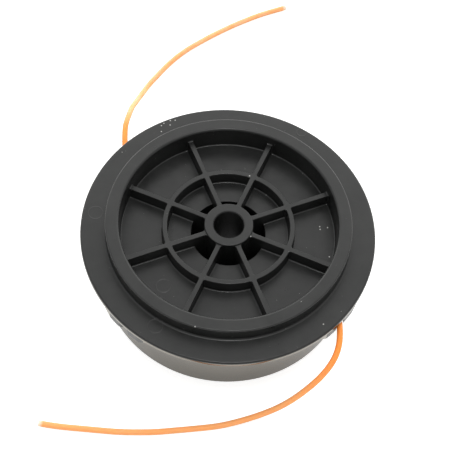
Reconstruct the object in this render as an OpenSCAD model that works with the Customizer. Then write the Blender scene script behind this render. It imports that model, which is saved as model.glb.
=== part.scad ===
// Spool of trimmer line, standing on its foot with the ribbed face up.
// Millimetres. Z is the spool's axis and Z = 0 is the surface it stands on.

/* [Upper flange] */
// Diameter of the wide flange that guides the line
flange_d = 98; // [94:0.5:110]
// Thickness of the flange at its edge
flange_t = 2.1; // [1.6:0.1:3]
// Height of the flange's top face above the foot
flange_z = 28.6; // [27.5:0.1:34]

/* [Raised rim] */
// Outer diameter of the raised rim
rim_d = 81.2; // [79:0.2:86]
// Width of the rim's flat top
rim_w = 4.6; // [3:0.1:5.4]
// Height of the rim above the flange
rim_h = 5.5; // [3:0.1:8]

/* [Ribbed recess] */
// Depth of the recess floor below the flange's top face
floor_depth = 3.2; // [2.4:0.1:4]
// Thickness of the recess floor
floor_t = 2; // [1.4:0.1:2.4]
// Number of radial ribs
rib_count = 8; // [5:1:10]
// Thickness of the ribs
rib_t = 1.7; // [1.2:0.1:2.4]
// Height of the ribs and of the ring above the flange's top face
rib_rise = 1.65; // [0.8:0.05:2.6]
// Outer diameter of the ring between the hub and the rim
ring_d = 44; // [38:0.5:54]
// Wall of the ring
ring_t = 1.7; // [1.2:0.1:2.4]

/* [Hub and core] */
// Bore for the shaft
bore_d = 10; // [8:0.1:12]
// Outer diameter of the hub tube
hub_d = 16.2; // [14.6:0.1:18]
// Height of the hub above the flange's top face
hub_rise = 2.2; // [1.8:0.1:4]
// Chamfer at the mouths of the bore
bore_chamfer = 0.3; // [0.1:0.1:0.6]
// Diameter of the open well around the hub
well_d = 24.6; // [22:0.2:28]
// Wall of the core that the line is wound on
core_t = 2; // [1.4:0.1:3]
// Thickness of the web that closes the well at the foot
web_t = 2; // [1.4:0.1:3]
// Radius of the fillets where the ribs run into the hub
hub_flare = 1.2; // [0.6:0.1:1.6]

/* [Lower flange] */
// Diameter of the skirt at the foot
skirt_d = 85.8; // [83:0.2:88]
// Draft of the skirt, in degrees
skirt_draft = 3; // [1:0.5:4]
// Wall of the skirt
skirt_t = 2; // [1.4:0.1:3]
// Thickness of the plate below the line
plate_t = 1.8; // [1.4:0.1:2.6]
// Clear height of the line's chamber, from plate to recess floor
chamber_h = 8.2; // [7:0.1:10]
// How far the ribs under the plate stop above the foot
lower_rib_gap = 3; // [1:0.5:6]

/* [Line keepers] */
// Direction of the first slot that holds a line end, in degrees
keeper_az = -38; // [-44:1:-32]
// Length of flange edge that one keeper takes up
keeper_len = 18; // [15:0.5:22]
// Thickness of the keeper lugs, along the radius
lug_t = 2.4; // [1.8:0.1:3]
// How far the lugs hang below the flange
lug_drop = 2.7; // [2.3:0.1:3.4]
// Clearance on each side of the line in a slot
slot_clear = 0.25; // [0.15:0.05:0.5]
// Radius of the lug's nose that the line bends round
nose_r = 2; // [1:0.1:2.2]

/* [Line] */
// Diameter of the trimmer line
line_d = 2; // [1.6:0.1:2.2]
// Radius at which the outermost turns lie, to the middle of the line
wound_r = 34.8; // [30:0.1:35]
// Clearance between the turns and the core
wound_clear = 0.1; // [0.05:0.05:0.4]

/* [Edges] */
// Radius on the outer edges of the flange and the rim
edge_r = 0.5; // [0.2:0.1:0.8]
// Radius on the top edges of the ribs, the ring and the hub
rib_edge_r = 0.3; // [0.1:0.1:0.5]
// Radius of the fillets along the feet of the walls
foot_r = 0.7; // [0.3:0.1:1]

/* [Hidden] */
$fn = 128;

flange_r = flange_d / 2;
rim_r = rim_d / 2;
rim_in = rim_r - rim_w;
ring_r = ring_d / 2;
hub_r = hub_d / 2;
bore_r = bore_d / 2;
well_r = well_d / 2;
core_r = well_r + core_t;
skirt_r = skirt_d / 2;

rim_z = flange_z + rim_h;
rib_z = flange_z + rib_rise;
hub_z = flange_z + hub_rise;
floor_z = flange_z - floor_depth;
flange_low = flange_z - flange_t;
chamber_top = floor_z - floor_t;
plate_z = chamber_top - chamber_h;
skirt_lean = tan(skirt_draft);
skirt_top_r = skirt_r + plate_z * skirt_lean;
rib_phase = 26.3;
rim_wall = 2;
// Overlap that fuses one stretch of the moulding into the next
sink = 0.5;

line_r = line_d / 2;
// Whole rows of line that fit in the chamber, and the bulk that they fill
row_play = 0.1;
rows = floor((chamber_h - row_play) / line_d);
wound_top = plate_z + rows * line_d;
lead_row_z = plate_z + (rows - 1.5) * line_d;

// The slot is turned the way the line leaves the outermost turns
lead_sink = 0.8;
lead_r = wound_r - lead_sink;
slot_turn = asin(lead_r / flange_r);
lead_reach = sqrt(flange_r * flange_r - lead_r * lead_r);
keeper_count = 4;
// How far below the flange the line runs where it passes its slot
slot_hang = 0.9;
slot_z = flange_low - line_r - slot_hang;

// Where the winding hands over to the free tails, short of the slot
tail_start_back = 6.4;

// Routes of the two free tails: along the slots, down to the ground and along it
tail_front = [
    [37.7, -23.9, 23.8], [38.5, -30, 24.6], [39, -35.5, 24.5], [38, -40.5, 23.5],
    [35.5, -44.5, 21.5], [32.5, -47.5, 18.5], [29, -50, 15.5], [25.5, -52, 12],
    [21.5, -53.5, 8.5], [17, -55, 5.5], [12.5, -56, 3], [7.5, -57.5, 1.5],
    [2.5, -59, 1], [-2.5, -60, 1], [-7.5, -61, 1], [-13, -62, 1],
    [-18, -63, 1], [-23.5, -63.5, 1], [-29, -64, 1], [-34, -64, 1],
    [-39.5, -64, 1], [-44.5, -64, 1], [-50, -64, 1], [-55.5, -63.5, 1]
];
tail_back = [
    [-37.7, 23.9, 23.8], [-38.5, 30, 24.6], [-39.5, 36, 24.5], [-40, 41, 23.5],
    [-40, 45.5, 21], [-40, 50, 18], [-40, 54.5, 15], [-40, 59, 11.5],
    [-39.5, 63.5, 8], [-39, 68, 5], [-38, 72.5, 2.5], [-36.5, 77.5, 1.5],
    [-34, 82, 1], [-31.5, 86.5, 1], [-28.5, 91, 1], [-25, 95.5, 1],
    [-21, 99.5, 1], [-17, 103, 1], [-13, 106.5, 1], [-8.5, 110, 1],
    [-4.5, 113, 1], [0, 116, 1], [4.5, 119, 1], [9.5, 121.5, 1], [14.5, 124, 1]
];

// A wall of the section, with its two top corners rounded
module wall(r_in, r_out, z_low, z_top, r) {
    translate([r_in, z_low]) square([r_out - r_in, z_top - z_low - r]);
    translate([r_in + r, z_low]) square([r_out - r_in - 2 * r, z_top - z_low]);
    translate([r_in + r, z_top - r]) circle(r = r, $fn = 32);
    translate([r_out - r, z_top - r]) circle(r = r, $fn = 32);
}

// A concave fillet in the corner at x, z; side is 1 where the floor runs outwards
module foot(x, z, r, side) {
    translate([x, z]) mirror([side < 0 ? 1 : 0, 0]) difference() {
        translate([-sink, -sink]) square([r + sink, r + sink]);
        translate([r, r]) circle(r = r, $fn = 32);
    }
}

module flange_section() {
    edge = flange_t / 2;
    translate([rim_in, flange_low]) square([flange_r - edge - rim_in, flange_t]);
    translate([flange_r - edge, flange_low + edge]) square([edge, flange_t - edge - rib_edge_r]);
    translate([flange_r - edge, flange_low + edge]) circle(r = edge, $fn = 48);
    translate([flange_r - edge, flange_low + edge]) square([edge - rib_edge_r, flange_t - edge]);
    translate([flange_r - rib_edge_r, flange_z - rib_edge_r]) circle(r = rib_edge_r, $fn = 32);
}

module rim_section() {
    wall(rim_in, rim_r, flange_low, rim_z, edge_r);
    translate([rim_in, chamber_top]) square([rim_wall, rim_z - rim_h - chamber_top]);
    translate([well_r, chamber_top]) square([rim_in + sink - well_r, floor_t]);
    foot(rim_r, flange_z, foot_r, 1);
    foot(rim_in, floor_z, foot_r, -1);
}

module ring_section() {
    wall(ring_r - ring_t, ring_r, floor_z - sink, rib_z, rib_edge_r);
    foot(ring_r, floor_z, foot_r, 1);
    foot(ring_r - ring_t, floor_z, foot_r, -1);
}

module hub_section() {
    wall(bore_r, hub_r, 0, hub_z, rib_edge_r);
    translate([well_r, 0]) square([core_t, floor_z]);
    translate([bore_r, 0]) square([core_r - bore_r, web_t]);
}

module skirt_section() {
    polygon([
        [skirt_r - skirt_t, 0], [skirt_r, 0],
        [skirt_top_r, plate_z], [skirt_top_r - skirt_t, plate_z]
    ]);
    translate([core_r - sink, plate_z - plate_t]) square([skirt_top_r - skirt_t - core_r + 2 * sink, plate_t]);
}

module revolved_body() {
    rotate_extrude() {
        flange_section();
        rim_section();
        ring_section();
        hub_section();
        skirt_section();
    }
}

// One upright rib of the recess, from the hub to the rim
module rib() {
    out = rim_in + sink;
    translate([out, 0, 0]) rotate([90, 0, -90]) linear_extrude(out - well_r) {
        wall(-rib_t / 2, rib_t / 2, floor_z - sink, rib_z, rib_edge_r);
        foot(rib_t / 2, floor_z, foot_r, 1);
        foot(-rib_t / 2, floor_z, foot_r, -1);
    }
    translate([well_r + sink, 0, 0]) rotate([90, 0, -90]) linear_extrude(well_r + sink - hub_r + sink)
        wall(-rib_t / 2, rib_t / 2, web_t - sink, rib_z, rib_edge_r);
}

// The two upright fillets where a rib runs into the hub
module rib_flares() {
    reach = sqrt(pow(hub_r + hub_flare, 2) - pow(rib_t / 2 + hub_flare, 2));
    middle = [reach, rib_t / 2 + hub_flare];
    on_hub = middle * (hub_r - sink) / (hub_r + hub_flare);
    for (side = [0, 1])
        mirror([0, side, 0]) translate([0, 0, web_t - sink]) linear_extrude(rib_z - rib_edge_r - web_t + sink)
            difference() {
                polygon([[hub_r - sink, 0], [reach, 0], middle, on_hub]);
                translate(middle) circle(r = hub_flare, $fn = 48);
            }
}

// One rib under the plate, between the core and the skirt
module lower_rib() {
    translate([core_r - sink, -rib_t / 2, lower_rib_gap])
        cube([skirt_r - skirt_t - core_r + 2 * sink, rib_t, plate_z - plate_t - lower_rib_gap + sink]);
}

// Middle of the rounded nose: nose_r from the slot's side and from the flange's edge
function nose_middle() =
    let (
        off = line_r + slot_clear + nose_r,
        foot_x = flange_r - off * sin(slot_turn),
        foot_y = -off * cos(slot_turn),
        along = foot_x * cos(slot_turn) - foot_y * sin(slot_turn),
        rest = foot_x * foot_x + foot_y * foot_y - pow(flange_r - nose_r, 2),
        step = -along + sqrt(along * along - rest)
    )
    [foot_x + step * cos(slot_turn), foot_y - step * sin(slot_turn)];

// Outline of one keeper seen from above: two lugs with the slanted slot between them
module keeper_outline() {
    slot_w = line_d + 2 * slot_clear;
    slot_reach = 4 * lug_t;
    nose = nose_middle();
    difference() {
        circle(r = flange_r);
        circle(r = flange_r - lug_t);
        translate([flange_r, 0]) rotate(-slot_turn) translate([-slot_reach, -slot_w / 2])
            square([2 * slot_reach, slot_w]);
        difference() {
            polygon([[flange_r + 1, 0], nose, nose * (flange_r + 1) / (flange_r - nose_r)]);
            translate(nose) circle(r = nose_r, $fn = 48);
        }
    }
}

// The lugs of one keeper, sloping up to the flange at their far ends
module keeper() {
    half = keeper_len / 2;
    intersection() {
        translate([0, 0, flange_low - lug_drop]) linear_extrude(lug_drop + sink) keeper_outline();
        translate([flange_r - 2 * lug_t, 0, flange_low]) rotate([90, 0, 90]) linear_extrude(4 * lug_t)
            polygon([
                [-half, sink], [half, sink], [half, 0],
                [half - lug_drop, -lug_drop], [lug_drop - half, -lug_drop], [-half, 0]
            ]);
    }
}

module spool() {
    color([0.13, 0.13, 0.13]) difference() {
        union() {
            revolved_body();
            for (i = [0:rib_count - 1])
                rotate(rib_phase + i * 360 / rib_count) {
                    rib();
                    rib_flares();
                    lower_rib();
                }
            for (i = [0:keeper_count - 1])
                rotate(keeper_az + i * 360 / keeper_count) keeper();
        }
        for (end = [0, 1])
            translate([0, 0, end * hub_z]) mirror([0, 0, end])
                translate([0, 0, -sink]) cylinder(h = sink + bore_chamfer, r1 = bore_r + bore_chamfer + sink, r2 = bore_r);
    }
}

// The straight stretch that runs from the outermost turns towards a slot
module lead_out() {
    rise = slot_z - lead_row_z;
    length = norm([lead_reach, rise]);
    tilt = atan2(rise, lead_reach);
    rotate(keeper_az + 90 - slot_turn) translate([lead_r, 0, lead_row_z]) rotate([90 - tilt, 0, 0])
        cylinder(h = length - tail_start_back, r = line_r, $fn = 48);
}

module wound_line() {
    color("darkorange") union() {
        rotate_extrude() {
            translate([core_r + wound_clear, plate_z])
                square([wound_r - core_r - wound_clear, wound_top - plate_z]);
            for (i = [0:rows - 1])
                translate([wound_r, plate_z + (i + 0.5) * line_d]) circle(r = line_r, $fn = 48);
        }
        for (side = [0, 1])
            rotate(side * 180) lead_out();
    }
}

function unit(v) = v / norm(v);

// A tube of eight sides through the points, one ring at each point
function tube_axes(p, i) =
    let (
        last = len(p) - 1,
        ahead = unit(p[min(i + 1, last)] - p[max(i - 1, 0)]),
        across = unit(cross(ahead, [0, 0, 1]))
    )
    [across, cross(across, ahead)];

module tube(p, r) {
    sides = 8;
    last = len(p) - 1;
    rings = [
        for (i = [0:last], k = [0:sides - 1])
            let (axes = tube_axes(p, i), a = k * 360 / sides)
            p[i] + r * (cos(a) * axes[0] + sin(a) * axes[1])
    ];
    skin = [
        for (i = [0:last - 1], k = [0:sides - 1])
            let (a = i * sides + k, b = i * sides + (k + 1) % sides)
            [a, b, b + sides, a + sides]
    ];
    caps = [[for (k = [sides - 1:-1:0]) k], [for (k = [0:sides - 1]) last * sides + k]];
    polyhedron(points = rings, faces = concat(skin, caps), convexity = 4);
}

module line_tail_front() {
    color("orange") tube(tail_front, line_r);
}

module line_tail_back() {
    color("orange") tube(tail_back, line_r);
}

spool();
wound_line();
line_tail_front();
line_tail_back();
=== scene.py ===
import math

import bmesh
import bpy
from mathutils import Matrix, Vector


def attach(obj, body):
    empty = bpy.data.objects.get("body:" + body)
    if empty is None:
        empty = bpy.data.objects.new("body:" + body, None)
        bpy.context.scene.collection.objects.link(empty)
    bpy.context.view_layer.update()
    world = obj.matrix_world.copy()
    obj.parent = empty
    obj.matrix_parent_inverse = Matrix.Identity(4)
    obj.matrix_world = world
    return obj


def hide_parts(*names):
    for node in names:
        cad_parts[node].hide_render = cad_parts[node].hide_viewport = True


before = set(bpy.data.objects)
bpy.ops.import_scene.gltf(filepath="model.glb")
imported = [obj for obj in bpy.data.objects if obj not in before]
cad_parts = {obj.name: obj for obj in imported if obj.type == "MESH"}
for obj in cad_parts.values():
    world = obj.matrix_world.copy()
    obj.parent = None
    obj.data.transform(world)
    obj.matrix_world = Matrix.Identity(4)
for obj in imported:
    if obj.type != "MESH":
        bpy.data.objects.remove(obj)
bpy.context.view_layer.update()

# Camera
# It stands 39 cm from the spool and looks down on the ribbed face, with the
# horizon rolled a little, as in the photograph.
MM = 0.001
X_AXIS, Y_AXIS, Z_AXIS = Vector((1, 0, 0)), Vector((0, 1, 0)), Vector((0, 0, 1))
ORIGIN = Vector((0, 0, 0))
CAMERA_PLACE = Vector((2.332, -187.442, 341.631)) * MM
LOOK_DOWN = 59.43
ROLL = 5.23
SENSOR = 36
# Focal length as a multiple of the picture's side
FOCAL_SHARE = 2.3404

lens = bpy.data.cameras.new("camera")
lens.sensor_width = SENSOR
lens.lens = SENSOR * FOCAL_SHARE
lens.clip_start = 10 * MM
camera = bpy.data.objects.new("camera", lens)
bpy.context.scene.collection.objects.link(camera)
camera.matrix_world = (
    Matrix.Translation(CAMERA_PLACE)
    @ Matrix.Rotation(math.radians(90 - LOOK_DOWN), 4, "X")
    @ Matrix.Rotation(math.radians(ROLL), 4, "Z")
)
bpy.context.scene.camera = camera

# Free line ends
# Both ends of the trimmer line, 2 mm drawn nylon in orange. Each leaves its slot
# straight, bows down to the ground and lies there. The cuts are square and pale.
LINE_R = 1.0 * MM
# The curve keeps closer to the first points, where the line bends most
BEND_POINTS, FIRM = 9, 3
FRONT_ROUTE = [
    (37.7, -23.9, 23.8), (38.5, -30, 24.6), (39, -35.5, 24.5), (38, -40.5, 23.5),
    (35.5, -44.5, 21.5), (32.5, -47.5, 18.5), (29, -50, 15.5), (25.5, -52, 12),
    (21.5, -53.5, 8.5), (17, -55, 5.5), (12.5, -56, 3), (7.5, -57.5, 1.5),
    (2.5, -59, 1), (-2.5, -60, 1), (-7.5, -61, 1), (-13, -62, 1),
    (-18, -63, 1), (-23.5, -63.5, 1), (-29, -64, 1), (-34, -64, 1),
    (-39.5, -64, 1), (-44.5, -64, 1), (-50, -64, 1), (-55.5, -63.5, 1),
]
BACK_ROUTE = [
    (-37.7, 23.9, 23.8), (-38.5, 30, 24.6), (-39.5, 36, 24.5), (-40, 41, 23.5),
    (-40, 45.5, 21), (-40, 50, 18), (-40, 54.5, 15), (-40, 59, 11.5),
    (-39.5, 63.5, 8), (-39, 68, 5), (-38, 72.5, 2.5), (-36.5, 77.5, 1.5),
    (-34, 82, 1), (-31.5, 86.5, 1), (-28.5, 91, 1), (-25, 95.5, 1),
    (-21, 99.5, 1), (-17, 103, 1), (-13, 106.5, 1), (-8.5, 110, 1),
    (-4.5, 113, 1), (0, 116, 1), (4.5, 119, 1), (9.5, 121.5, 1), (14.5, 124, 1),
]
ORANGE = (1.0, 0.29, 0.055, 1)
PALE_ORANGE = (1.0, 0.42, 0.15, 1)
# The back end is drawn in a paler orange than the front, the same nylon in a lighter tint
PALER_BACK_ORANGE = (1.0, 0.53, 0.27, 1)
FROSTED = (0.95, 0.80, 0.66, 1)


def shader_of(name):
    """A new material with its nodes, its links and its Principled shader."""
    finish = bpy.data.materials.new(name)
    finish.use_nodes = True
    tree = finish.node_tree
    return finish, tree.nodes, tree.links, tree.nodes["Principled BSDF"]


def noise(nodes, links, place, scale, detail=3.0, roughness=0.55):
    """A noise texture of so many waves a metre, on the vector output place."""
    texture = nodes.new("ShaderNodeTexNoise")
    texture.inputs["Scale"].default_value = scale
    texture.inputs["Detail"].default_value = detail
    texture.inputs["Roughness"].default_value = roughness
    links.new(place, texture.inputs["Vector"])
    return texture.outputs["Fac"]


def ramp(nodes, links, value, stops):
    """Turns a value into a colour by stops of (place, colour)."""
    band = nodes.new("ShaderNodeValToRGB")
    elements = band.color_ramp.elements
    while len(elements) < len(stops):
        elements.new(0.5)
    for element, (place, colour) in zip(elements, stops):
        element.position = place
        element.color = colour
    links.new(value, band.inputs["Fac"])
    return band.outputs["Color"]


def bump(nodes, links, height, strength, distance, under=None):
    """A bump of so many metres, on top of the normal output under."""
    relief = nodes.new("ShaderNodeBump")
    relief.inputs["Strength"].default_value = strength
    relief.inputs["Distance"].default_value = distance
    links.new(height, relief.inputs["Height"])
    if under is not None:
        links.new(under, relief.inputs["Normal"])
    return relief.outputs["Normal"]


def mixed(nodes, links, share, first, second):
    """Mixes two colours, or colour outputs, by the value output share."""
    mixer = nodes.new("ShaderNodeMix")
    mixer.data_type = "RGBA"
    links.new(share, mixer.inputs["Factor"])
    for socket, colour in ((mixer.inputs["A"], first), (mixer.inputs["B"], second)):
        if isinstance(colour, tuple):
            socket.default_value = colour
        else:
            links.new(colour, socket)
    return mixer.outputs["Result"]


def calculate(nodes, links, operation, first, second):
    """A Math node's result for two values, or value outputs."""
    sum_node = nodes.new("ShaderNodeMath")
    sum_node.operation = operation
    for socket, value in zip(sum_node.inputs, (first, second)):
        if isinstance(value, float):
            socket.default_value = value
        else:
            links.new(value, socket)
    return sum_node.outputs[0]


def fade(nodes, links, value, full, none):
    """1 where the value is at full, down to 0 at none."""
    slope = nodes.new("ShaderNodeMapRange")
    slope.inputs["From Min"].default_value = full
    slope.inputs["From Max"].default_value = none
    slope.inputs["To Min"].default_value = 1
    slope.inputs["To Max"].default_value = 0
    links.new(value, slope.inputs["Value"])
    return slope.outputs["Result"]


def distance_to(nodes, links, place, spot):
    """How far the vector output place is from a spot given in mm."""
    away = nodes.new("ShaderNodeVectorMath")
    away.operation = "DISTANCE"
    away.inputs[1].default_value = Vector(spot) * MM
    links.new(place, away.inputs[0])
    return away.outputs["Value"]


def nylon(name, pale, route=None):
    """Drawn nylon with a frosted cut. Its colour is painted light and shade: deeper orange
    by the slot and on the winding, where it lies in shade, and paler outside, where it is
    lit.
    """
    finish, nodes, links, shader = shader_of(name)
    place = nodes.new("ShaderNodeTexCoord").outputs["Object"]
    clouds = noise(nodes, links, place, 200, 2)
    # The winding starts from the deeper orange, a painted shade for the line inside the
    # spool
    deep = PALE_ORANGE if route else ORANGE
    colour = ramp(nodes, links, clouds, [(0.3, deep), (0.7, pale)])
    if route:
        # Painted shade: each free end turns deeper orange near its slot, under the flange
        for spot, full, none, tint in (
            (route[2], 3 * MM, 24 * MM, ORANGE), (route[-1], 1.0 * MM, 1.9 * MM, FROSTED)
        ):
            near = fade(nodes, links, distance_to(nodes, links, place, spot), full, none)
            colour = mixed(nodes, links, near, colour, tint)
    links.new(colour, shader.inputs["Base Color"])
    shader.inputs["Roughness"].default_value = 0.5
    shader.inputs["Specular IOR Level"].default_value = 0.2
    shader.inputs["Subsurface Weight"].default_value = 0.3
    shader.inputs["Subsurface Radius"].default_value = (1.0, 0.45, 0.15)
    shader.inputs["Subsurface Scale"].default_value = 0.6 * MM
    dies = noise(nodes, links, place, 1800, 1)
    links.new(bump(nodes, links, dies, 0.08, 0.03 * MM), shader.inputs["Normal"])
    return finish


def free_end(name, node, route, pale):
    """One end of the line, from inside its slot to its cut."""
    curve = bpy.data.curves.new(name, "CURVE")
    curve.dimensions = "3D"
    curve.resolution_u = 6
    curve.bevel_depth = LINE_R
    curve.bevel_resolution = 6
    curve.use_fill_caps = True
    spline = curve.splines.new("NURBS")
    spline.points.add(len(route) - 1)
    for i, (knot, point) in enumerate(zip(spline.points, route)):
        knot.co = (*(Vector(point) * MM), FIRM if i < BEND_POINTS else 1)
    spline.order_u = 5
    spline.use_endpoint_u = True
    piece = bpy.data.objects.new(name, curve)
    bpy.context.scene.collection.objects.link(piece)
    curve.materials.append(nylon(name + "_nylon", pale, route))
    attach(piece, "root")
    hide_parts(node)
    return piece


free_end("front_line_end", "line_tail_front", FRONT_ROUTE, PALE_ORANGE)
free_end("back_line_end", "line_tail_back", BACK_ROUTE, PALER_BACK_ORANGE)

# Spool
# One black moulding that turns on the trimmer head's shaft: hub, core, two flanges,
# the raised rim and the ribs. Its outer walls are polished, the faces are satin.
STEPS = 144
RIBS = 8
RIB_PHASE = 26.3
BORE_R, HUB_R, WELL_R, CORE_R = 5, 8.1, 12.3, 14.3
RING_IN, RING_R, RIM_IN, RIM_R, FLANGE_R = 20.3, 22, 36, 40.6, 49
SKIRT_R, SKIRT_TOP_R, SKIRT_IN, SKIRT_T = 42.9, 43.7, 41.7, 2
WEB_Z, PLATE_LOW_Z, PLATE_Z, CHAMBER_Z, FLOOR_Z = 2, 13.4, 15.2, 23.4, 25.4
FLANGE_LOW_Z, FLANGE_Z, RIB_Z, HUB_Z, RIM_Z = 26.5, 28.6, 30.25, 30.8, 34.1
RIB_HALF = 0.85
CHAMFER = 0.3
# Below this height the skirt's wall takes the satin finish instead of the polish, which
# draws a dark line along its foot
FOOT_LINE = 0.7


def close_to(value, goal, slack=0.03):
    return abs(value - goal) <= slack


def trace(name, corners, across, up, start=ORIGIN):
    """A flat face, its outline drawn corner by corner from one point, in mm."""
    bpy.ops.object.select_all(action="DESELECT")
    bpy.ops.mesh.primitive_plane_add(size=MM)
    piece = bpy.context.object
    piece.name = piece.data.name = name
    bpy.ops.object.mode_set(mode="EDIT")
    bpy.ops.mesh.select_mode(type="VERT")
    bpy.ops.mesh.merge(type="CENTER")
    places = [start + (across * a + up * b) * MM for a, b in corners]
    bpy.ops.transform.translate(value=places[0])
    for here, there in zip(places, places[1:]):
        bpy.ops.mesh.extrude_region_move(
            TRANSFORM_OT_translate={"value": there - here}
        )
    bpy.ops.mesh.select_all(action="SELECT")
    bpy.ops.mesh.edge_face_add()
    return piece


def pick(piece, kind, test):
    """Selects the vertices, edges or faces of the piece in edit mode that pass."""
    bpy.ops.mesh.select_mode(type=kind)
    bpy.ops.mesh.select_all(action="DESELECT")
    cage = bmesh.from_edit_mesh(piece.data)
    for part in {"VERT": cage.verts, "EDGE": cage.edges, "FACE": cage.faces}[kind]:
        if test(part):
            part.select_set(True)
    cage.select_flush_mode()
    bmesh.update_edit_mesh(piece.data)


def round_corners(piece, spots, radius, segments):
    """Rounds the corners of a traced outline that lie at spots (x, z), in mm."""
    pick(piece, "VERT", lambda v: any(
        close_to(v.co.x / MM, x) and close_to(v.co.z / MM, z) for x, z in spots
    ))
    bpy.ops.mesh.bevel(
        affect="VERTICES", offset_type="OFFSET", offset=radius * MM,
        segments=segments, clamp_overlap=False,
    )


def turned_copies(piece, count, first, apart):
    """Copies a piece round the axis, in degrees, and joins the copies."""
    copies = []
    for i in range(count):
        twin = piece.copy()
        twin.data = piece.data.copy()
        twin.data.transform(Matrix.Rotation(math.radians(first + i * apart), 4, "Z"))
        bpy.context.scene.collection.objects.link(twin)
        copies.append(twin)
    bpy.data.objects.remove(piece)
    bpy.ops.object.select_all(action="DESELECT")
    for twin in copies:
        twin.select_set(True)
    bpy.context.view_layer.objects.active = copies[0]
    bpy.ops.object.join()
    return bpy.context.object


def make_active(piece):
    bpy.ops.object.select_all(action="DESELECT")
    piece.select_set(True)
    bpy.context.view_layer.objects.active = piece


def combine(piece, tool, operation):
    """Fuses the tool into the piece, or cuts it out, and removes it."""
    make_active(piece)
    change = piece.modifiers.new("combine", "BOOLEAN")
    change.operation = operation
    change.solver = "EXACT"
    change.object = tool
    bpy.ops.object.modifier_apply(modifier=change.name)
    bpy.data.objects.remove(tool)


# The body is spun from its section, traced from the bore's lower mouth upwards
spool = trace("spool_moulding", [
    (BORE_R, CHAMFER), (BORE_R, HUB_Z - CHAMFER), (BORE_R + CHAMFER, HUB_Z),
    (HUB_R, HUB_Z), (HUB_R, WEB_Z), (WELL_R, WEB_Z), (WELL_R, FLOOR_Z),
    (RING_IN, FLOOR_Z), (RING_IN, RIB_Z), (RING_R, RIB_Z), (RING_R, FLOOR_Z),
    (RIM_IN, FLOOR_Z), (RIM_IN, RIM_Z), (RIM_R, RIM_Z), (RIM_R, FLANGE_Z),
    (FLANGE_R, FLANGE_Z), (FLANGE_R, FLANGE_LOW_Z), (RIM_IN + 2, FLANGE_LOW_Z),
    (RIM_IN + 2, CHAMBER_Z), (CORE_R, CHAMBER_Z), (CORE_R, PLATE_Z),
    (SKIRT_TOP_R, PLATE_Z), (SKIRT_R + 0.04, FOOT_LINE), (SKIRT_R, 0),
    (SKIRT_R - SKIRT_T, 0), (SKIRT_IN, PLATE_LOW_Z), (CORE_R, PLATE_LOW_Z), (CORE_R, 0),
    (BORE_R + CHAMFER, 0),
], X_AXIS, Z_AXIS)
round_corners(spool, [(RIM_R, RIM_Z)], 0.5, 4)
round_corners(spool, [(RIM_IN, RIM_Z)], 0.9, 5)
round_corners(spool, [(RIM_R, FLANGE_Z)], 0.7, 4)
round_corners(spool, [(FLANGE_R, FLANGE_LOW_Z)], 0.4, 4)
round_corners(spool, [(FLANGE_R, FLANGE_Z)], 0.7, 5)
round_corners(spool, [(HUB_R, HUB_Z), (SKIRT_TOP_R, PLATE_Z)], 0.3, 3)
round_corners(spool, [(SKIRT_R, 0), (SKIRT_R - SKIRT_T, 0)], 0.15, 2)
bpy.ops.mesh.select_all(action="SELECT")
bpy.ops.mesh.delete(type="ONLY_FACE")
bpy.ops.mesh.select_all(action="SELECT")
bpy.ops.mesh.spin(steps=STEPS, angle=2 * math.pi, center=ORIGIN, axis=Z_AXIS)
bpy.ops.mesh.select_all(action="SELECT")
bpy.ops.mesh.remove_doubles(threshold=0.002 * MM)
bpy.ops.mesh.normals_make_consistent(inside=False)
bpy.ops.object.mode_set(mode="OBJECT")
# Each rib's middle then lies between two seams of the spun faces
spool.data.transform(
    Matrix.Rotation(math.radians(RIB_PHASE + 180 / STEPS), 4, "Z")
)

# Upper ribs: each runs from the hub, where it flares, through the ring into the rim,
# and stands on the web inside the well
FLARE = [(8.0, RIB_HALF), (7.62, 2.6), (6.5, 2.2)]
rib = trace(
    "rib",
    [(38, RIB_HALF)] + FLARE + [(x, -y) for x, y in reversed(FLARE)] + [(38, -RIB_HALF)],
    X_AXIS, Y_AXIS, Z_AXIS * MM,
)
pick(rib, "VERT", lambda v: close_to(v.co.x / MM, 8.0))
bpy.ops.mesh.bevel(
    affect="VERTICES", offset_type="OFFSET", offset=1.0 * MM, segments=5,
    clamp_overlap=False,
)
bpy.ops.mesh.select_all(action="SELECT")
bpy.ops.mesh.extrude_region_move(
    TRANSFORM_OT_translate={"value": Z_AXIS * (RIB_Z - 1) * MM}
)
bpy.ops.mesh.select_all(action="SELECT")
bpy.ops.mesh.normals_make_consistent(inside=False)
bpy.ops.object.mode_set(mode="OBJECT")
bpy.ops.object.select_all(action="DESELECT")
bpy.ops.mesh.primitive_cube_add(size=1)
under_floor = bpy.context.object
under_floor.data.transform(
    Matrix.Translation(Vector((28, 0, 12)) * MM)
    @ Matrix.Diagonal((28 * MM, 8 * MM, 25 * MM, 1))
)
combine(rib, under_floor, "DIFFERENCE")
combine(spool, turned_copies(rib, RIBS, RIB_PHASE, 360 / RIBS), "UNION")

# Lower ribs: plain webs under the plate, which stop short of the foot
bpy.ops.object.select_all(action="DESELECT")
bpy.ops.mesh.primitive_cube_add(size=1)
lower_rib = bpy.context.object
lower_rib.data.transform(
    Matrix.Translation(Vector((27.7, 0, 8.5)) * MM)
    @ Matrix.Diagonal((28.4 * MM, 2 * RIB_HALF * MM, 11 * MM, 1))
)
combine(spool, turned_copies(lower_rib, RIBS, RIB_PHASE, 360 / RIBS), "UNION")

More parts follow.
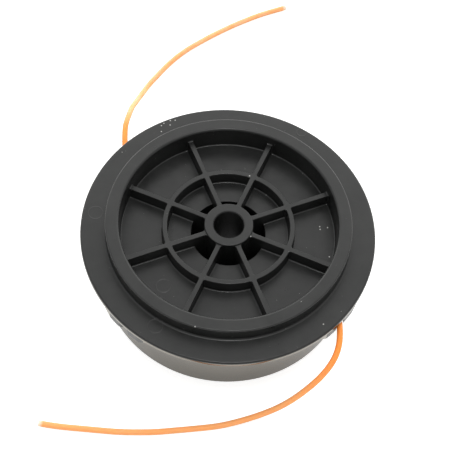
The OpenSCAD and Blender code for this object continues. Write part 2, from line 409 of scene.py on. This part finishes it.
# Line keepers: under the flange's edge two lugs stand on either side of a slot that
# is turned the way the line leaves. One lug has a rounded nose, the other a sharp tip
KEEPERS = 4
KEEPER_AZ = -38
SLOT_TURN = math.radians(43.94)
SLOT_HALF = 1.25
LUG_T, LUG_LOW_Z, LUG_HALF = 2.4, 23.8, 9
slot_side = Vector((math.sin(SLOT_TURN), math.cos(SLOT_TURN), 0))
for side in (-1, 1):
    lug = trace("lug", [
        (FLANGE_R - LUG_T, LUG_LOW_Z), (FLANGE_R, LUG_LOW_Z),
        (FLANGE_R, FLANGE_LOW_Z + 0.5), (FLANGE_R - LUG_T, FLANGE_LOW_Z + 0.5),
    ], Vector((math.cos(0.2), math.sin(0.2), 0)), Z_AXIS)
    bpy.ops.mesh.spin(steps=12, angle=0.4, center=ORIGIN, axis=Z_AXIS)
    bpy.ops.mesh.select_all(action="SELECT")
    bpy.ops.mesh.normals_make_consistent(inside=False)
    bpy.ops.mesh.select_all(action="SELECT")
    bpy.ops.mesh.bisect(
        plane_co=X_AXIS * FLANGE_R * MM + slot_side * side * SLOT_HALF * MM,
        plane_no=slot_side * -side, clear_outer=True, use_fill=True,
    )
    bpy.ops.mesh.select_all(action="SELECT")
    bpy.ops.mesh.bisect(
        plane_co=Vector((FLANGE_R, side * LUG_HALF, FLANGE_LOW_Z)) * MM,
        plane_no=Vector((0, side, -1)), clear_outer=True, use_fill=True,
    )
    if side < 0:
        pick(lug, "EDGE", lambda e: all(
            v.co.x / MM > FLANGE_R - 0.2 and v.co.y / MM > -2.2 for v in e.verts
        ) and abs(e.verts[0].co.z - e.verts[1].co.z) > MM)
        bpy.ops.mesh.bevel(offset=0.85 * MM, segments=5, clamp_overlap=False)
    bpy.ops.object.mode_set(mode="OBJECT")
    edges = lug.modifiers.new("edges", "BEVEL")
    edges.width = 0.2 * MM
    edges.segments = 2
    edges.angle_limit = math.radians(35)
    make_active(lug)
    bpy.ops.object.modifier_apply(modifier=edges.name)
    combine(
        spool, turned_copies(lug, KEEPERS, KEEPER_AZ, 360 / KEEPERS), "UNION"
    )


def edge_facts(edge):
    """Radius and height of an edge's middle in mm, and its turn in degrees."""
    middle = (edge.verts[0].co + edge.verts[1].co) / 2 / MM
    turn = math.degrees(edge.calc_face_angle_signed(0))
    return math.hypot(middle.x, middle.y), middle.z, turn


def foot_or_corner(edge):
    r, z, turn = edge_facts(edge)
    return turn < -40 and r > WELL_R + 0.1 and r < RIM_IN + 0.1 and z > FLOOR_Z - 0.1


def top_edge(edge):
    r, z, turn = edge_facts(edge)
    on_rib = close_to(z, RIB_Z) and HUB_R + 0.1 < r < RIM_IN - 0.1
    on_well = close_to(z, FLOOR_Z) and close_to(r, WELL_R, 0.1)
    return turn > 40 and (on_rib or on_well)


make_active(spool)
bpy.ops.object.mode_set(mode="EDIT")
bpy.ops.mesh.select_all(action="SELECT")
bpy.ops.mesh.remove_doubles(threshold=0.004 * MM)
bpy.ops.mesh.dissolve_limited(angle_limit=math.radians(0.4))
pick(spool, "EDGE", foot_or_corner)
bpy.ops.mesh.bevel(offset=0.5 * MM, segments=3, clamp_overlap=False)
pick(spool, "EDGE", top_edge)
bpy.ops.mesh.bevel(offset=0.3 * MM, segments=3, clamp_overlap=False)
bpy.ops.object.mode_set(mode="OBJECT")
bpy.ops.object.shade_smooth_by_angle(angle=math.radians(38))
flats = spool.modifiers.new("flats", "WEIGHTED_NORMAL")
flats.keep_sharp = True
bpy.ops.object.modifier_apply(modifier=flats.name)


def on_spool(r, azimuth, z):
    """A point in mm from its radius, azimuth in degrees and height."""
    turn = math.radians(azimuth)
    return (r * math.cos(turn), r * math.sin(turn), z)


# Round witness marks of ejector pins: a point and the mark's own radius
PIN_MARKS = [
    (on_spool(44.5, 178.5, FLANGE_Z), 2.4), (on_spool(43.0, -117.6, FLANGE_Z), 2.4),
    (on_spool(47.1, 61.8, FLANGE_Z), 1.6), (on_spool(29.3, -131, FLOOR_Z), 2.4),
]
# White specks of dust and scuffed plastic, most of them by the back line's slot
SPECKS = [
    on_spool(47.9, 120, FLANGE_Z), on_spool(47.4, 118, FLANGE_Z),
    on_spool(47.8, 123, FLANGE_Z), on_spool(47.3, 124.5, FLANGE_Z),
    on_spool(45.1, 126, FLANGE_Z), on_spool(46.2, 121, FLANGE_Z),
    on_spool(31, 10.5, FLOOR_Z), on_spool(31, 8.5, FLOOR_Z),
    on_spool(33.6, 9.5, FLOOR_Z), on_spool(8.3, -25, RIB_Z),
    on_spool(9.9, -27, RIB_Z), on_spool(34.6, -9.5, FLOOR_Z),
    on_spool(31, -17, FLOOR_Z), on_spool(40.4, -100.5, RIM_Z - 0.2),
    on_spool(46, -44.5, FLANGE_Z), on_spool(21, 75, RIB_Z),
]
SPECK_R = 0.3 * MM


def satin_plastic():
    """The satin faces: spark-eroded grain, faint flow, pin marks, dust and scuffs."""
    finish, nodes, links, shader = shader_of("satin_plastic")
    place = nodes.new("ShaderNodeTexCoord").outputs["Object"]
    flow = noise(nodes, links, place, 90, 5, 0.65)
    tone = ramp(nodes, links, flow, [
        (0.32, (0.0065, 0.0070, 0.0067, 1)), (0.68, (0.0130, 0.0135, 0.0128, 1)),
    ])
    pins = 0.0
    for spot, size in PIN_MARKS:
        off = distance_to(nodes, links, place, spot)
        off = calculate(nodes, links, "SUBTRACT", off, size * MM)
        off = calculate(nodes, links, "ABSOLUTE", off, 0.0)
        pins = calculate(
            nodes, links, "MAXIMUM", fade(nodes, links, off, 0.0, 0.22 * MM), pins
        )
    specks = fade(nodes, links, noise(nodes, links, place, 1500, 2, 0.4), 0.82, 0.78)
    for spot in SPECKS:
        off = distance_to(nodes, links, place, spot)
        grain = fade(nodes, links, off, SPECK_R, SPECK_R / 3)
        grain = calculate(nodes, links, "SUBTRACT", 1.0, grain)
        specks = calculate(nodes, links, "MAXIMUM", grain, specks)
    pale_pins = calculate(nodes, links, "MULTIPLY", pins, 0.5)
    tone = mixed(nodes, links, pale_pins, tone, (0.03, 0.03, 0.029, 1))
    tone = mixed(nodes, links, specks, tone, (0.45, 0.45, 0.43, 1))
    links.new(tone, shader.inputs["Base Color"])
    sheen = noise(nodes, links, place, 140, 6, 0.7)
    dull = ramp(nodes, links, sheen, [
        (0.3, (0.27, 0.27, 0.27, 1)), (0.7, (0.48, 0.48, 0.48, 1)),
    ])
    links.new(dull, shader.inputs["Roughness"])
    shader.inputs["Specular IOR Level"].default_value = 0.40
    fine = noise(nodes, links, place, 3800, 2)
    skin = bump(nodes, links, fine, 0.3, 0.03 * MM)
    skin = bump(nodes, links, flow, 0.3, 0.15 * MM, skin)
    links.new(bump(nodes, links, pins, 0.6, 0.06 * MM, skin), shader.inputs["Normal"])
    return finish


def polished_plastic(name, ior):
    """An outer wall, drawn smooth along the mould, with faint upright streaks. Its warm
    brown tone and the warm tint of its reflection are painted warm light.
    """
    finish, nodes, links, shader = shader_of(name)
    place = nodes.new("ShaderNodeTexCoord").outputs["Object"]
    stretch = nodes.new("ShaderNodeMapping")
    stretch.inputs["Scale"].default_value = (1, 1, 0.06)
    links.new(place, stretch.inputs["Vector"])
    streaks = noise(nodes, links, stretch.outputs["Vector"], 420, 3)
    # Warm brown streaked tone on the black plastic: painted warm light
    tone = ramp(nodes, links, streaks, [
        (0.3, (0.020, 0.017, 0.012, 1)), (0.7, (0.032, 0.027, 0.018, 1)),
    ])
    links.new(tone, shader.inputs["Base Color"])
    shader.inputs["Roughness"].default_value = 0.07
    shader.inputs["IOR"].default_value = ior
    # Painted reflection: the warm specular tint stands in for warm light from the ground
    shader.inputs["Specular Tint"].default_value = (1.0, 0.91, 0.75, 1)
    links.new(bump(nodes, links, streaks, 0.12, 0.05 * MM), shader.inputs["Normal"])
    return finish


spool.data.materials.clear()
spool.data.materials.append(satin_plastic())
# The flange's edge gets a copy of the wall's finish with a higher IOR, so it shines
# brighter than the skirt: a lit copy, painted light
spool.data.materials.append(polished_plastic("polished_wall", 2.0))
spool.data.materials.append(polished_plastic("polished_edge", 2.3))
for face in spool.data.polygons:
    r = math.hypot(face.center.x, face.center.y) / MM
    z = face.center.z / MM
    upright = abs(face.normal.z) < 0.98
    skirt = r > SKIRT_R - 0.1 and FOOT_LINE < z < PLATE_Z - 0.1
    edge = r > FLANGE_R - 0.3 and FLANGE_LOW_Z < z < FLANGE_Z - 0.6
    face.material_index = upright * (skirt + 2 * edge)
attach(spool, "root")
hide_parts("spool")

# Wound line
# The same nylon line on the core, wound by machine as two strands side by side in
# ten layers. Each strand leaves the outermost layer on its own side, to its slot.
LAYERS = 10
INNER_TURN_R, OUTER_TURN_R = 15.5, 34.8
LOW_ROW, HIGH_ROW = 16.25, 22.3
ROW_PITCH = 4.0
LEAVE_AZ, LEAVE_R, LEAVE_Z = 8.06, 34.0, 20.2
STEP_DEG = 6


def strand_route():
    """One strand from its slot inwards, in mm: a straight, then layer by layer."""
    route = [Vector(FRONT_ROUTE[0])]
    azimuth, z, rising = LEAVE_AZ, LEAVE_Z, -1
    for layer in range(LAYERS):
        share = layer / (LAYERS - 1)
        r = OUTER_TURN_R + (INNER_TURN_R - OUTER_TURN_R) * share
        while True:
            settle = min(1.0, (azimuth - LEAVE_AZ) / 40)
            turn_r = r if layer else LEAVE_R + (r - LEAVE_R) * settle
            angle = math.radians(azimuth)
            route.append(Vector((turn_r * math.cos(angle), turn_r * math.sin(angle), z)))
            azimuth += STEP_DEG
            z += rising * ROW_PITCH * STEP_DEG / 360
            if not LOW_ROW <= z <= HIGH_ROW:
                z = min(max(z, LOW_ROW), HIGH_ROW)
                rising = -rising
                break
    return route


strand = bpy.data.curves.new("strand", "CURVE")
strand.dimensions = "3D"
strand.bevel_depth = LINE_R * 0.985
strand.bevel_resolution = 3
strand.use_fill_caps = True
path = strand_route()
spline = strand.splines.new("POLY")
spline.points.add(len(path) - 1)
for knot, point in zip(spline.points, path):
    knot.co = (*(point * MM), 1)
winding = bpy.data.objects.new("line_winding", strand)
bpy.context.scene.collection.objects.link(winding)
make_active(winding)
bpy.ops.object.convert(target="MESH")
winding = turned_copies(bpy.context.object, 2, 0, 180)
make_active(winding)
bpy.ops.object.shade_smooth_by_angle(angle=math.radians(50))
winding.name = winding.data.name = "line_winding"
winding.data.materials.clear()
# Deeper orange than the free ends: painted shade inside the spool
winding.data.materials.append(nylon("winding_nylon", PALE_ORANGE))
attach(winding, "root")
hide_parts("wound_line")

# Ground and light
# A pale, plain ground that shows white to the eye and in the gloss of the plastic,
# and keeps a soft shadow. The sky gives most of the light, and one small lamp above
# the spool the thin highlights along its fillets.
bpy.ops.object.select_all(action="DESELECT")
bpy.ops.mesh.primitive_plane_add(size=40)
ground = bpy.context.object
ground.name = "ground"
pale = bpy.data.materials.new("pale_ground")
pale.use_nodes = True
nodes, links = pale.node_tree.nodes, pale.node_tree.links
nodes.clear()
rays = nodes.new("ShaderNodeLightPath")
cover = nodes.new("ShaderNodeAmbientOcclusion")
cover.inputs["Distance"].default_value = 80 * MM
mirrored = calculate(
    nodes, links, "MAXIMUM", rays.outputs["Is Glossy Ray"],
    rays.outputs["Is Transmission Ray"],
)
# Painted shade: in the gloss the ground glows less where the spool covers it, by its
# occlusion
open_sky = calculate(nodes, links, "POWER", cover.outputs["AO"], 1.4)
open_sky = calculate(nodes, links, "MAXIMUM", open_sky, 0.2)
mirrored = calculate(nodes, links, "MULTIPLY", mirrored, open_sky)
seen = calculate(nodes, links, "MULTIPLY", rays.outputs["Is Camera Ray"], 0.65)
glow = nodes.new("ShaderNodeEmission")
links.new(
    calculate(nodes, links, "ADD", seen, mirrored), glow.inputs["Strength"]
)
matte = nodes.new("ShaderNodeBsdfDiffuse")
matte.inputs["Color"].default_value = (0.8, 0.8, 0.79, 1)
both = nodes.new("ShaderNodeAddShader")
links.new(glow.outputs[0], both.inputs[0])
links.new(matte.outputs[0], both.inputs[1])
out = nodes.new("ShaderNodeOutputMaterial")
links.new(both.outputs[0], out.inputs["Surface"])
ground.data.materials.append(pale)

# The sky is brightest low behind the spool and dimmer on the camera's side
sky = bpy.data.worlds.new("studio_sky")
bpy.context.scene.world = sky
sky.use_nodes = True
nodes, links = sky.node_tree.nodes, sky.node_tree.links
way = nodes.new("ShaderNodeSeparateXYZ")
links.new(nodes.new("ShaderNodeTexCoord").outputs["Generated"], way.inputs[0])
share = nodes.new("ShaderNodeMapRange")
share.inputs["From Min"].default_value = -1
links.new(way.outputs["Y"], share.inputs["Value"])
shade = ramp(nodes, links, share.outputs["Result"], [
    (0.0, (0.65, 0.65, 0.65, 1)), (0.5, (0.85, 0.85, 0.85, 1)),
    (0.705, (0.95, 0.95, 0.95, 1)), (0.80, (2.2, 2.2, 2.18, 1)), (0.9, (2.8, 2.8, 2.77, 1)),
])
rays = nodes.new("ShaderNodeLightPath")
seen = mixed(nodes, links, rays.outputs["Is Camera Ray"], shade, (1.0, 1.0, 1.0, 1))
links.new(seen, nodes["Background"].inputs["Color"])

lamp = bpy.data.lights.new("overhead_lamp", "AREA")
lamp.shape = "DISK"
lamp.size = 0.18
lamp.energy = 2.4
overhead = bpy.data.objects.new("overhead_lamp", lamp)
overhead.location = (0.03, -0.10, 0.9)
overhead.rotation_euler = (-overhead.location).to_track_quat("-Z", "Y").to_euler()
bpy.context.scene.collection.objects.link(overhead)

bpy.context.scene.view_settings.view_transform = "Standard"
